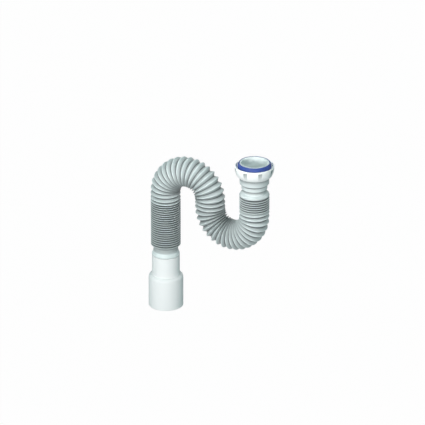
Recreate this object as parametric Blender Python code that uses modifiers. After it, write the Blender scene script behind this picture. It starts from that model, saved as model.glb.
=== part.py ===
"""Corrugated waste pipe for a basin or a sink, with a union nut, a cone seal and an outlet sleeve.

The pipe is one blown moulding: a plain neck at each end and a bellows between them, bent into an S.
The sleeve on its outlet fits 40 mm and 50 mm drains, and the nut on its inlet fits a 1 1/2 inch waste.

Everything is drawn upright, with the outlet at the bottom and the legs along Z, and one parent lays it
down on its side, because a bent pipe can't stand unheld. In that upright frame X runs across the bends,
from the outlet leg to the inlet leg, and a height is measured from the open end of the sleeve.
"""

import math

import bmesh
import bpy
from mathutils import Matrix

MM = 0.001

# Driving dimensions: the pipe's centre line

ARCH_RADIUS = 36.0 * MM
TRAP_RADIUS = 35.4 * MM
MIDDLE_RUN = 11.2 * MM
OUTLET_OPEN_RUN = 14.8 * MM
INLET_OPEN_RUN = 12.6 * MM

# Driving dimensions: the bellows

RIDGE_RADIUS = 21.5 * MM
RIDGE_DEPTH = 4.1 * MM
FINE_PITCH = 3.4 * MM
OUTLET_FINE_RIDGES = 21
INLET_FINE_RIDGES = 6
OPEN_RIDGES = 40
ARCH_EXTRA_PULL = 2.7 * MM
CREST_LAND = 1.8 * MM
BELLOWS_WALL = 0.9 * MM

# Driving dimensions: the outlet sleeve

SOCKET_RADIUS = 25.0 * MM
SOCKET_LENGTH = 43.6 * MM
SLEEVE_SHOULDER = 5.2 * MM
SLEEVE_RADIUS = 20.0 * MM
SLEEVE_LENGTH = 31.4 * MM
SLEEVE_WALL = 2.3 * MM
SLEEVE_EDGE = 1.0 * MM

# Driving dimensions: the pipe's outlet neck

SPIGOT_LENGTH = 24.0 * MM
COLLAR_HEIGHT = 4.1 * MM
COLLAR_STEP = 2.1 * MM
CUFF_LENGTH = 3.9 * MM
CUFF_STEP = 0.7 * MM
OUTLET_NECK_LENGTH = 6.0 * MM

# Driving dimensions: the pipe's inlet neck

NECK_WALL = 1.3 * MM
SHOULDER_HEIGHT = 8.2 * MM
WAIST_RADIUS = 16.6 * MM
WAIST_LENGTH = 2.6 * MM
RING_STEP = 1.6 * MM
RING_LENGTH = 5.2 * MM
FLARE_LENGTH = 3.9 * MM
TUBE_RADIUS = 21.1 * MM
TUBE_LENGTH = 32.4 * MM
TUBE_WALL = 2.4 * MM
LIP_CHAMFER = 0.8 * MM
RING_ROUND = 0.8 * MM

# Driving dimensions: the union nut and its cone seal

NUT_RIM = 2.5 * MM
NUT_HEIGHT = 16.5 * MM
NUT_SETBACK = 4.5 * MM
NUT_WEB = 3.0 * MM
NUT_EDGE = 1.4 * MM
NUT_BOWL_SWEEP = 68.0
THREAD_ROOM = 2.0 * MM
THREAD_BACKING = 0.5 * MM
SEAT_DEPTH = 3.1 * MM
NOTCH_COUNT = 8
NOTCH_WIDTH = 6.0 * MM
NOTCH_BACKING = 1.9 * MM
NOTCH_ROOF = 1.2 * MM
NOTCH_PHASE = math.radians(38.0)
SEAL_FOOT = 3.0 * MM
SEAL_LAND = 1.2 * MM
SEAL_CONE_HEIGHT = 4.8 * MM

# Clearances

SEAT_GAP = 0.3 * MM
TUBE_CLEARANCE = 0.4 * MM
SEAL_CLEARANCE = 1.5 * MM

# Facets around each turned piece

PIPE_SEGMENTS = 16
FITTING_SEGMENTS = 32
GUIDE_RESOLUTION = 48

# Radii that follow: each fitting takes its own from what it holds

SLEEVE_BORE = SLEEVE_RADIUS - SLEEVE_WALL
SPIGOT_RADIUS = SLEEVE_BORE - TUBE_CLEARANCE
CUFF_RADIUS = SLEEVE_RADIUS - COLLAR_STEP
OUTLET_NECK_RADIUS = CUFF_RADIUS - CUFF_STEP
OUTLET_BORE = min(SPIGOT_RADIUS, OUTLET_NECK_RADIUS) - NECK_WALL
RING_RADIUS = WAIST_RADIUS + RING_STEP
NUT_BORE = TUBE_RADIUS + TUBE_CLEARANCE
SEAL_BORE = TUBE_RADIUS + SEAT_GAP
SEAL_RADIUS = TUBE_RADIUS + SEAL_FOOT
SEAL_TOP_RADIUS = TUBE_RADIUS + SEAL_LAND
THREAD_RADIUS = TUBE_RADIUS + THREAD_ROOM
SEAT_RADIUS = SEAL_RADIUS + SEAL_CLEARANCE
NOTCH_FLOOR_RADIUS = THREAD_RADIUS + NOTCH_BACKING
NUT_BASE_RADIUS = THREAD_RADIUS + THREAD_BACKING
NUT_RADIUS = SEAT_RADIUS + NUT_RIM

# Heights that follow from the driving dimensions

SLEEVE_TOP = SOCKET_LENGTH + SLEEVE_SHOULDER + SLEEVE_LENGTH
COLLAR_BASE = SLEEVE_TOP + SEAT_GAP
FIRST_RIDGE = COLLAR_BASE + COLLAR_HEIGHT + CUFF_LENGTH + OUTLET_NECK_LENGTH + FINE_PITCH / 2
ARCH_HEIGHT = FIRST_RIDGE + (OUTLET_FINE_RIDGES - 1) * FINE_PITCH + OUTLET_OPEN_RUN
TRAP_HEIGHT = ARCH_HEIGHT - MIDDLE_RUN
INLET_BELLOWS = INLET_OPEN_RUN + (INLET_FINE_RIDGES - 0.5) * FINE_PITCH
INLET_NECK = SHOULDER_HEIGHT + WAIST_LENGTH + RING_LENGTH + FLARE_LENGTH + TUBE_LENGTH
LIP_HEIGHT = TRAP_HEIGHT + INLET_BELLOWS + INLET_NECK
NUT_TOP = LIP_HEIGHT - NUT_SETBACK
NUT_BASE = NUT_TOP - NUT_HEIGHT

# Places across the pipe, with the origin midway between its outermost sides

WIDTH = SOCKET_RADIUS + 2 * ARCH_RADIUS + 2 * TRAP_RADIUS + NUT_RADIUS
OUTLET_X = SOCKET_RADIUS - WIDTH / 2
MIDDLE_X = OUTLET_X + 2 * ARCH_RADIUS
INLET_X = MIDDLE_X + 2 * TRAP_RADIUS


def clear_scene():
    """Start from an empty file, so that the script can be run again."""
    for old in list(bpy.data.objects):
        bpy.data.objects.remove(old, do_unlink=True)


def make_collection(name):
    collection = bpy.data.collections.new(name)
    bpy.context.scene.collection.children.link(collection)
    return collection


def make_material(name, color, roughness):
    """A plain plastic or rubber finish."""
    material = bpy.data.materials.new(name)
    material.use_nodes = True
    shader = material.node_tree.nodes["Principled BSDF"]
    shader.inputs["Base Color"].default_value = (*color, 1.0)
    shader.inputs["Roughness"].default_value = roughness
    shader.inputs["Metallic"].default_value = 0.0
    return material


def arc(centre, radii, start, end, steps):
    """Points of an elliptical arc in a profile, as (radius, height), with angles in degrees from +X."""
    points = []
    for step in range(steps + 1):
        angle = math.radians(start + (end - start) * step / steps)
        points.append((centre[0] + radii[0] * math.cos(angle), centre[1] + radii[1] * math.sin(angle)))
    return points


def turned_object(name, outer, inner, segments, collection, material):
    """Turn a closed profile about Z: outer runs down the outside, and inner runs back up the bore."""
    shape = bmesh.new()
    corners = [shape.verts.new((radius, 0.0, height)) for radius, height in outer + inner]
    for start, end in zip(corners, corners[1:] + corners[:1]):
        shape.edges.new((start, end))
    mesh = bpy.data.meshes.new(name)
    shape.to_mesh(mesh)
    shape.free()
    mesh.materials.append(material)

    piece = bpy.data.objects.new(name, mesh)
    collection.objects.link(piece)
    screw = piece.modifiers.new("turn", "SCREW")
    screw.axis = "Z"
    screw.angle = math.tau
    screw.steps = segments
    screw.render_steps = segments
    screw.use_merge_vertices = True
    screw.merge_threshold = 0.01 * MM
    screw.use_smooth_shade = True
    return piece


def make_centre_line(collection, frame):
    """The S that the pipe follows, from the open end of the sleeve to the inlet's lip."""
    curve = bpy.data.curves.new("centre_line", "CURVE")
    curve.dimensions = "3D"
    curve.twist_mode = "MINIMUM"
    curve.resolution_u = GUIDE_RESOLUTION
    quarter = 4 / 3 * math.tan(math.pi / 8)
    up, down, right = (0, 0, 1), (0, 0, -1), (1, 0, 0)

    # Each stop is a place, the way the pipe runs there, and the reach of its two handles.
    arch_reach = quarter * ARCH_RADIUS
    trap_reach = quarter * TRAP_RADIUS
    stops = [
        ((OUTLET_X, 0), up, ARCH_HEIGHT / 3, ARCH_HEIGHT / 3),
        ((OUTLET_X, ARCH_HEIGHT), up, ARCH_HEIGHT / 3, arch_reach),
        ((OUTLET_X + ARCH_RADIUS, ARCH_HEIGHT + ARCH_RADIUS), right, arch_reach, arch_reach),
        ((MIDDLE_X, ARCH_HEIGHT), down, arch_reach, MIDDLE_RUN / 3),
        ((MIDDLE_X, TRAP_HEIGHT), down, MIDDLE_RUN / 3, trap_reach),
        ((MIDDLE_X + TRAP_RADIUS, TRAP_HEIGHT - TRAP_RADIUS), right, trap_reach, trap_reach),
        ((INLET_X, TRAP_HEIGHT), up, trap_reach, (LIP_HEIGHT - TRAP_HEIGHT) / 3),
        ((INLET_X, LIP_HEIGHT), up, (LIP_HEIGHT - TRAP_HEIGHT) / 3, (LIP_HEIGHT - TRAP_HEIGHT) / 3),
    ]
    spline = curve.splines.new("BEZIER")
    spline.bezier_points.add(len(stops) - 1)
    for point, ((x, height), way, reach_back, reach_on) in zip(spline.bezier_points, stops):
        point.handle_left_type = "FREE"
        point.handle_right_type = "FREE"
        point.co = (x, 0, height)
        point.handle_left = (x - way[0] * reach_back, 0, height - way[2] * reach_back)
        point.handle_right = (x + way[0] * reach_on, 0, height + way[2] * reach_on)

    guide = bpy.data.objects.new("centre_line", curve)
    guide.hide_render = True
    guide.display_type = "WIRE"
    guide.parent = frame
    collection.objects.link(guide)
    return guide


def bellows_rings(length):
    """Crests along the pipe, as (distance, kind), from the outlet neck to the inlet neck."""
    open_start = ARCH_HEIGHT - OUTLET_OPEN_RUN + FINE_PITCH / 2
    open_end = length - INLET_NECK - INLET_FINE_RIDGES * FINE_PITCH
    open_run = open_end - open_start
    crests = [(FIRST_RIDGE + ridge * FINE_PITCH, "fine") for ridge in range(OUTLET_FINE_RIDGES)]

    # The arch takes a little more of the open run than its even share, so its folds stand wider.
    for ridge in range(OPEN_RIDGES):
        share = (ridge + 0.5) / OPEN_RIDGES
        crests.append((open_start + share * open_run + ARCH_EXTRA_PULL * math.sin(math.pi * share), "open"))

    crests += [(open_end + (ridge + 0.5) * FINE_PITCH, "fine") for ridge in range(INLET_FINE_RIDGES)]
    return crests


def make_pipe(length, guide, collection, material):
    """The blown pipe: outlet spigot, collar and neck, then the bellows, then the stepped inlet neck."""
    crests = bellows_rings(length)
    valley = RIDGE_RADIUS - RIDGE_DEPTH

    # The outlet neck, from its end in the sleeve up to the first ridge
    cuff_base = COLLAR_BASE + COLLAR_HEIGHT
    neck_base = cuff_base + CUFF_LENGTH
    outer = [(SPIGOT_RADIUS, SLEEVE_TOP - SPIGOT_LENGTH), (SPIGOT_RADIUS, COLLAR_BASE)]
    outer += arc((CUFF_RADIUS, COLLAR_BASE + SLEEVE_EDGE), (COLLAR_STEP, SLEEVE_EDGE), -90, 0, 2)
    outer += arc((CUFF_RADIUS, COLLAR_BASE + SLEEVE_EDGE), (COLLAR_STEP, COLLAR_HEIGHT - SLEEVE_EDGE), 30, 90, 2)
    outer += [(CUFF_RADIUS, neck_base), (OUTLET_NECK_RADIUS, neck_base)]
    outer += [(OUTLET_NECK_RADIUS, neck_base + OUTLET_NECK_LENGTH)]
    inner = [(OUTLET_BORE, SLEEVE_TOP - SPIGOT_LENGTH), (OUTLET_BORE, neck_base + OUTLET_NECK_LENGTH)]

    # The bellows: a fine ridge is a sharp fold, and an open one has a flat crest between two slopes
    for index, (crest, kind) in enumerate(crests):
        if kind == "open":
            outer += [(RIDGE_RADIUS, crest - CREST_LAND / 2), (RIDGE_RADIUS, crest + CREST_LAND / 2)]
        else:
            outer.append((RIDGE_RADIUS, crest))
        inner.append((RIDGE_RADIUS - BELLOWS_WALL, crest))
        if index + 1 < len(crests):
            following = crests[index + 1][0]
            outer.append((valley, (crest + following) / 2))
            inner.append((valley - BELLOWS_WALL, (crest + following) / 2))

    # The inlet neck: shoulder, waist, ring, flare and the plain tube up to the lip
    bellows_end = length - INLET_NECK
    waist_base = bellows_end + SHOULDER_HEIGHT
    ring_base = waist_base + WAIST_LENGTH
    flare_base = ring_base + RING_LENGTH
    tube_base = flare_base + FLARE_LENGTH
    shoulder_reach = RIDGE_RADIUS - WAIST_RADIUS
    outer.append((valley, bellows_end))
    outer.append((RIDGE_RADIUS, bellows_end + FINE_PITCH / 2))
    shoulder = (shoulder_reach, SHOULDER_HEIGHT - FINE_PITCH)
    outer += arc((WAIST_RADIUS, bellows_end + FINE_PITCH), shoulder, 0, 90, 4)
    outer += [(WAIST_RADIUS, ring_base)]
    outer += arc((RING_RADIUS - RING_ROUND, ring_base + 2 * RING_ROUND), (RING_ROUND, RING_ROUND), -45, 0, 1)
    outer += [(RING_RADIUS, flare_base), (TUBE_RADIUS, tube_base), (TUBE_RADIUS, length)]
    inner.append((valley - BELLOWS_WALL, bellows_end))
    inner.append((RIDGE_RADIUS - NECK_WALL, bellows_end + FINE_PITCH / 2))
    inner += arc((WAIST_RADIUS - NECK_WALL, bellows_end + FINE_PITCH), shoulder, 0, 90, 3)
    inner += [(WAIST_RADIUS - NECK_WALL, ring_base), (RING_RADIUS - NECK_WALL, ring_base + 2 * RING_ROUND)]
    inner += [(RING_RADIUS - NECK_WALL, flare_base), (TUBE_RADIUS - TUBE_WALL, tube_base)]
    inner += [(TUBE_RADIUS - TUBE_WALL, length - LIP_CHAMFER), (TUBE_RADIUS - TUBE_WALL + LIP_CHAMFER, length)]

    pipe = turned_object("corrugated_pipe", outer[::-1], inner, PIPE_SEGMENTS, collection, material)
    bend = pipe.modifiers.new("bend", "CURVE")
    bend.object = guide
    bend.deform_axis = "POS_Z"
    return pipe


def make_sleeve(collection, material):
    """The outlet sleeve: a 50 mm end, a rounded shoulder and a 40 mm end that holds the pipe's spigot."""
    shoulder_reach = SOCKET_RADIUS - SLEEVE_RADIUS
    outer = arc((SLEEVE_RADIUS - SLEEVE_EDGE, SLEEVE_TOP - SLEEVE_EDGE), (SLEEVE_EDGE, SLEEVE_EDGE), 90, 0, 3)
    outer += arc((SLEEVE_RADIUS, SOCKET_LENGTH), (shoulder_reach, SLEEVE_SHOULDER), 90, 0, 5)
    outer += [(SOCKET_RADIUS, SLEEVE_EDGE), (SOCKET_RADIUS - SLEEVE_EDGE, 0)]
    inner = [(SOCKET_RADIUS - SLEEVE_WALL, 0), (SOCKET_RADIUS - SLEEVE_WALL, SOCKET_LENGTH - SLEEVE_WALL)]
    inner += arc((SLEEVE_BORE, SOCKET_LENGTH - SLEEVE_WALL), (shoulder_reach, SLEEVE_SHOULDER), 30, 90, 2)
    inner += [(SLEEVE_BORE, SLEEVE_TOP - SLEEVE_EDGE / 2), (SLEEVE_BORE + SLEEVE_EDGE / 4, SLEEVE_TOP)]
    return turned_object("outlet_sleeve", outer, inner, FITTING_SEGMENTS, collection, material)


def make_nut(collection, cutters, material):
    """The union nut: a bowl with a web at its base, a seat for the seal and grip notches all round."""
    widest = NUT_HEIGHT - NUT_EDGE
    sweep = math.radians(NUT_BOWL_SWEEP)
    bowl_reach = (NUT_RADIUS - NUT_BASE_RADIUS) / (1 - math.cos(sweep))
    bowl_fall = (widest - NUT_EDGE / 2) / math.sin(sweep)
    seat = NUT_HEIGHT - SEAT_DEPTH
    outer = arc((NUT_RADIUS - NUT_EDGE, widest), (NUT_EDGE, NUT_EDGE), 90, 0, 3)[:-1]
    outer += arc((NUT_RADIUS - bowl_reach, widest), (bowl_reach, bowl_fall), 0, -NUT_BOWL_SWEEP, 6)
    outer.append((NUT_BASE_RADIUS - NUT_EDGE / 2, 0))
    inner = [(NUT_BORE, 0), (NUT_BORE, NUT_WEB), (THREAD_RADIUS, NUT_WEB), (THREAD_RADIUS, seat)]
    inner += [(SEAT_RADIUS, seat), (SEAT_RADIUS, widest), (SEAT_RADIUS + NUT_EDGE / 3, NUT_HEIGHT)]
    nut = turned_object("union_nut", outer, inner, FITTING_SEGMENTS, collection, material)

    # A notch's floor stays at one radius, so that it is deepest at the roof and runs out further down.
    notch_top = seat - NOTCH_ROOF
    notch_size = (NUT_RADIUS, NOTCH_WIDTH, notch_top + NUT_EDGE)
    notch_centre = (NOTCH_FLOOR_RADIUS + NUT_RADIUS / 2, 0, notch_top - notch_size[2] / 2)
    for index in range(NOTCH_COUNT):
        shape = bmesh.new()
        bmesh.ops.create_cube(shape, matrix=Matrix.Translation(notch_centre) @ Matrix.Diagonal((*notch_size, 1)))
        mesh = bpy.data.meshes.new(f"notch_{index + 1}")
        shape.to_mesh(mesh)
        shape.free()
        cutter = bpy.data.objects.new(mesh.name, mesh)
        cutter.rotation_euler.z = NOTCH_PHASE + index * math.tau / NOTCH_COUNT
        cutter.hide_render = True
        cutter.display_type = "WIRE"
        cutter.parent = nut
        cutters.objects.link(cutter)
        cut = nut.modifiers.new(cutter.name, "BOOLEAN")
        cut.operation = "DIFFERENCE"
        cut.object = cutter
    return nut


def make_seal(collection, material):
    """The cone seal: it grips the tube and stands on the nut's seat, with its cone towards the waste."""
    base = NUT_TOP - SEAT_DEPTH + SEAT_GAP - NUT_BASE
    top = LIP_HEIGHT - NUT_BASE
    outer = [(SEAL_TOP_RADIUS, top), (SEAL_RADIUS, top - SEAL_CONE_HEIGHT), (SEAL_RADIUS, base)]
    inner = [(SEAL_BORE, base), (SEAL_BORE, top)]
    return turned_object("cone_seal", outer, inner, FITTING_SEGMENTS, collection, material)


def main():
    clear_scene()
    parts = make_collection("corrugated_waste_pipe")
    cutters = make_collection("cutters_and_guides")

    # The parent that lays the upright drawing down: the legs along Y, the nut's rim on the surface
    frame = bpy.data.objects.new("lying_frame", None)
    frame.location = (0, -LIP_HEIGHT / 2, NUT_RADIUS)
    frame.rotation_euler.x = -math.pi / 2
    parts.objects.link(frame)

    pipe_plastic = make_material("pipe_plastic", (0.56, 0.64, 0.64), 0.42)
    white_plastic = make_material("sleeve_plastic", (0.86, 0.89, 0.89), 0.34)
    nut_plastic = make_material("nut_plastic", (0.88, 0.91, 0.91), 0.32)
    seal_rubber = make_material("seal_rubber", (0.07, 0.11, 0.42), 0.55)

    guide = make_centre_line(cutters, frame)
    straights = ARCH_HEIGHT + MIDDLE_RUN + LIP_HEIGHT - TRAP_HEIGHT
    length = straights + math.pi * (ARCH_RADIUS + TRAP_RADIUS)
    pipe = make_pipe(length, guide, parts, pipe_plastic)
    sleeve = make_sleeve(parts, white_plastic)
    nut = make_nut(parts, cutters, nut_plastic)
    seal = make_seal(parts, seal_rubber)

    # The sleeve's and the nut's origins are on the axes that they move along and turn about.
    sleeve.location = (OUTLET_X, 0, 0)
    nut.location = (INLET_X, 0, NUT_BASE)
    seal.location = (INLET_X, 0, NUT_BASE)
    for piece in (pipe, sleeve, nut, seal):
        piece.parent = frame


main()
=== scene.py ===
# %% [markdown]
# # A corrugated waste pipe
#
# A flexible drain for a basin or a sink: a blown pipe of light grey plastic whose bellows is bent into an S, a white
# union nut with a blue cone seal at its inlet, and a white stepped sleeve at its outlet. It lies on a pale floor and
# the camera looks down on it, so that the S stands up in the picture.
#
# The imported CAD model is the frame. It gives every size that matters, and each piece below takes the place of a solid.

# %% Load the frame
import math

import bpy
import numpy as np
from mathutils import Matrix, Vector


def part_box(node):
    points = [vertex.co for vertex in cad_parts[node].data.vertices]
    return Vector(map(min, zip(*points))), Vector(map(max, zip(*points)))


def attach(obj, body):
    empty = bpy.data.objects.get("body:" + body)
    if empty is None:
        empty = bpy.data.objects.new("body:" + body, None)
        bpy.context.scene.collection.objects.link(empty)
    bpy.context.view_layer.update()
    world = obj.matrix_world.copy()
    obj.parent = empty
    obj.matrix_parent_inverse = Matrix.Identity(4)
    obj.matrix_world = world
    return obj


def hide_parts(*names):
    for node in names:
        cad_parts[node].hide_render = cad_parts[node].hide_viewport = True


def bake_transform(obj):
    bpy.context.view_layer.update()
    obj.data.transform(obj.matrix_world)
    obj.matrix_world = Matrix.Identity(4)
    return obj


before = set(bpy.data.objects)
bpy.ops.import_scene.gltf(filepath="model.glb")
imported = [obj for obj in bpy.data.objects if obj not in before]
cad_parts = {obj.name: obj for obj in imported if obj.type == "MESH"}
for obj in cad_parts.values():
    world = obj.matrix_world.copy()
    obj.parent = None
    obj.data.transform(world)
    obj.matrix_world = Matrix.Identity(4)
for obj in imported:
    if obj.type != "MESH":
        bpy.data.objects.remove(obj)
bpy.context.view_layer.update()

# %% [markdown]
# ## Sizes
#
# The pieces are modelled upright, standing on the open end of the sleeve, because a turned shape is easiest to think
# of with its axis upright. One helper at the end of each piece lays it down. Heights are counted from the sleeve's
# open end. What the CAD model already says is read from it, and only the rest is named here. The sleeve's rim stands
# a little below the top of its solid, because the pipe's collar is taller there.

# %% Sizes read from the frame
MM = 0.001

sleeve_low, sleeve_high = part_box("outlet_sleeve")
nut_low, nut_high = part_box("union_nut")
pipe_low, pipe_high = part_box("corrugated_pipe")
seal_low, seal_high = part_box("cone_seal")

OUTLET_X = (sleeve_low.x + sleeve_high.x) / 2
INLET_X = (nut_low.x + nut_high.x) / 2
AXIS_Z = (nut_low.z + nut_high.z) / 2
FOOT_Y = sleeve_low.y
LIP_HEIGHT = round(pipe_high.y - FOOT_Y, 5)
RIM_DROP = 1.2 * MM
SLEEVE_TOP = sleeve_high.y - FOOT_Y - RIM_DROP
NUT_BASE = nut_low.y - FOOT_Y
NUT_TOP = nut_high.y - FOOT_Y
SEAL_BASE = seal_low.y - FOOT_Y
SOCKET_RADIUS = (sleeve_high.x - sleeve_low.x) / 2
NUT_RADIUS = (nut_high.x - nut_low.x) / 2
SEAL_RADIUS = (seal_high.x - seal_low.x) / 2
RIDGE_RADIUS = OUTLET_X - pipe_low.x

print("Outlet axis at", round(OUTLET_X / MM, 2), "mm, inlet axis at", round(INLET_X / MM, 2), "mm")
print("The folds are", round(2 * RIDGE_RADIUS / MM, 2), "mm wide and the pipe ends", round(LIP_HEIGHT / MM, 1), "mm up")

# %% [markdown]
# ## Where the bellows changes along the pipe
#
# A bellows pipe of this kind is sold pushed together. Whoever fits it pulls open as many folds as the bends need, and
# leaves the straight ends closed. So there are three runs: closed folds on the outlet leg, open folds round both
# bends, and a few closed folds under the inlet neck. Every run starts and ends in a valley, so the runs can be joined.

# %% Runs along the pipe, measured on its centre line
ARCH_RADIUS = 36.0 * MM
TRAP_RADIUS = (INLET_X - OUTLET_X) / 2 - ARCH_RADIUS
MIDDLE_X = OUTLET_X + 2 * ARCH_RADIUS
ARCH_HEIGHT = 179.0 * MM
TRAP_HEIGHT = 167.8 * MM
FINE_PITCH = 3.4 * MM
OUTLET_FOLDS = 21
OPEN_FOLDS = 40
INLET_FOLDS = 6
ARCH_EXTRA_PULL = 2.7 * MM
INLET_NECK = 52.3 * MM

straight_runs = ARCH_HEIGHT + (ARCH_HEIGHT - TRAP_HEIGHT) + (LIP_HEIGHT - TRAP_HEIGHT)
centre_length = straight_runs + math.pi * (ARCH_RADIUS + TRAP_RADIUS)
leg_start = SLEEVE_TOP + RIM_DROP + 14.3 * MM
open_start = leg_start + OUTLET_FOLDS * FINE_PITCH
neck_start = centre_length - INLET_NECK
open_end = neck_start - INLET_FOLDS * FINE_PITCH
OPEN_PITCH = (open_end - open_start) / OPEN_FOLDS
print("Centre line", round(centre_length / MM, 1), "mm, open folds every", round(OPEN_PITCH / MM, 2), "mm")

# %% [markdown]
# ## Turning a piece ring by ring
#
# Every part of this object is round, so one way of modelling serves them all. A circle is added where the outline of
# the piece starts. It is extruded, moved up or down and scaled, once for each corner of the outline, exactly as one
# would draw it by hand. A closed outline comes back to its first ring, and merging doubles closes the skin. A Screw
# modifier could spin a drawn outline too, but rings can be picked and reshaped at any time while modelling.

# %% Helper: turn an outline into a ring of faces
CORNERS = 96
MERGE = 0.005 * MM

def turned(name, outline, corners=CORNERS):
    """Extrude a circle along an outline of (radius, height) pairs."""
    radius, height = outline[0]
    bpy.ops.object.select_all(action="DESELECT")
    bpy.ops.mesh.primitive_circle_add(vertices=corners, radius=radius, location=(0, 0, height))
    piece = bpy.context.object
    piece.name = name
    bpy.ops.object.transform_apply(location=True, rotation=False, scale=False)
    bpy.ops.object.mode_set(mode="EDIT")
    bpy.ops.mesh.select_all(action="SELECT")
    for next_radius, next_height in outline[1:]:
        bpy.ops.mesh.extrude_region_move(TRANSFORM_OT_translate={"value": (0, 0, next_height - height)})
        wider = next_radius / radius
        bpy.ops.transform.resize(value=(wider, wider, 1), center_override=(0, 0, next_height))
        radius, height = next_radius, next_height
    bpy.ops.object.mode_set(mode="OBJECT")
    return piece


def arc(centre, reach, start, end, steps):
    """Points of an elliptical arc in an outline, with angles in degrees from straight out."""
    angles = [math.radians(start + (end - start) * step / steps) for step in range(steps + 1)]
    return [(centre[0] + reach[0] * math.cos(angle), centre[1] + reach[1] * math.sin(angle)) for angle in angles]


print("Every ring has", CORNERS, "corners")

# %% [markdown]
# A few more helpers finish a piece. One merges what should be one skin and turns its faces outwards, one adds a
# modifier and applies it, and one joins several meshes. The last lays the upright piece down on the floor and applies
# that turn, so that the finished object sits unturned at the origin, as the export needs.

# %% Helpers: close the skin, apply modifiers, lay a piece down
def pick(piece):
    """Select one object and nothing else, because an operator acts on all that is selected."""
    bpy.ops.object.select_all(action="DESELECT")
    bpy.context.view_layer.objects.active = piece
    piece.select_set(True)


def close_skin(piece):
    """Merge doubled corners and turn all faces outwards."""
    pick(piece)
    bpy.ops.object.mode_set(mode="EDIT")
    bpy.ops.mesh.select_all(action="SELECT")
    bpy.ops.mesh.remove_doubles(threshold=MERGE)
    bpy.ops.mesh.normals_make_consistent(inside=False)
    bpy.ops.object.mode_set(mode="OBJECT")


def add_modifier(piece, kind, **settings):
    """Add one modifier, set it, and apply it."""
    pick(piece)
    modifier = piece.modifiers.new(kind.lower(), kind)
    for setting, value in settings.items():
        setattr(modifier, setting, value)
    bpy.ops.object.modifier_apply(modifier=modifier.name)


def joined(name, pieces):
    """Join several meshes into one piece."""
    bpy.ops.object.select_all(action="DESELECT")
    for piece in pieces:
        piece.select_set(True)
    bpy.context.view_layer.objects.active = pieces[0]
    bpy.ops.object.join()
    pieces[0].name = name
    pieces[0].data.name = name
    return pieces[0]


def lay_down(piece, axis_x, sharp_angle):
    """Tip the upright piece over onto the floor, smooth it, and report it."""
    pick(piece)
    piece.location = (axis_x, FOOT_Y, AXIS_Z)
    piece.rotation_euler = (-math.pi / 2, 0, 0)
    bpy.ops.object.transform_apply(location=True, rotation=True, scale=True)
    bpy.ops.object.shade_smooth_by_angle(angle=math.radians(sharp_angle))
    sides = [round(side / MM, 1) for side in piece.dimensions]
    print(piece.name, "has", len(piece.data.polygons), "faces and measures", sides, "mm")


print("Corners within", MERGE / MM, "mm of each other are merged")

# %% [markdown]
# ## One fold of the bellows
#
# The folds are zigzags with a rounded crest and a tight valley: that is what a blow mould leaves when the soft tube
# is pressed into its grooves. One fold is modelled once, from valley to valley, outside and inside, and the Array
# modifier repeats it. The outside gets more rings than the inside, because only the outside is seen up close.

# %% One fold, and a run of folds
FOLD_DEPTH = 4.1 * MM
VALLEY_RADIUS = RIDGE_RADIUS - FOLD_DEPTH
BELLOWS_WALL = 0.9 * MM

# Each pair is a share of the way from the valley to the crest: along the pipe, and outwards.
OPEN_SLOPE = ((0, 0), (0.07, 0.04), (0.18, 0.16), (0.5, 0.5), (0.78, 0.84), (0.91, 0.96), (1, 1))
FINE_SLOPE = ((0, 0), (0.12, 0.12), (0.5, 0.6), (0.72, 0.9), (1, 1))
BORE_SLOPE = ((0, 0), (0.5, 0.5), (1, 1))


def fold_outline(slope, pitch, valley):
    """The outline of one fold, up one side and down the other."""
    rising = [(valley + FOLD_DEPTH * out, pitch / 2 * along) for along, out in slope]
    falling = [(radius, pitch - height) for radius, height in reversed(rising[:-1])]
    return rising + falling


def run_of_folds(name, slope, pitch, count, start):
    """A run of equal folds with its inner wall, standing at its place along the pipe."""
    walls = []
    for side, rows, valley in (("outside", slope, VALLEY_RADIUS), ("bore", BORE_SLOPE, VALLEY_RADIUS - BELLOWS_WALL)):
        wall = turned(f"{name}_{side}", [(r, start + h) for r, h in fold_outline(rows, pitch, valley)])
        add_modifier(wall, "ARRAY", count=count, use_relative_offset=False, use_constant_offset=True,
                     constant_offset_displace=(0, 0, pitch), use_merge_vertices=True, merge_threshold=MERGE)
        walls.append(wall)
    print(name, "has", count, "folds with a pitch of", round(pitch / MM, 2), "mm")
    return walls

# %% [markdown]
# ## The centre line
#
# The real pipe is blown straight and bent by hand. The model does the same: the pipe is built straight and a Curve
# modifier bends it along an S of straight lines and two half circles. The curve is a Bezier with one control point
# at each end of a bend and one at its middle, which follows a circle to within a few hundredths of a millimetre.

# %% The S-shaped guide
GUIDE_STEPS = 48


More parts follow.
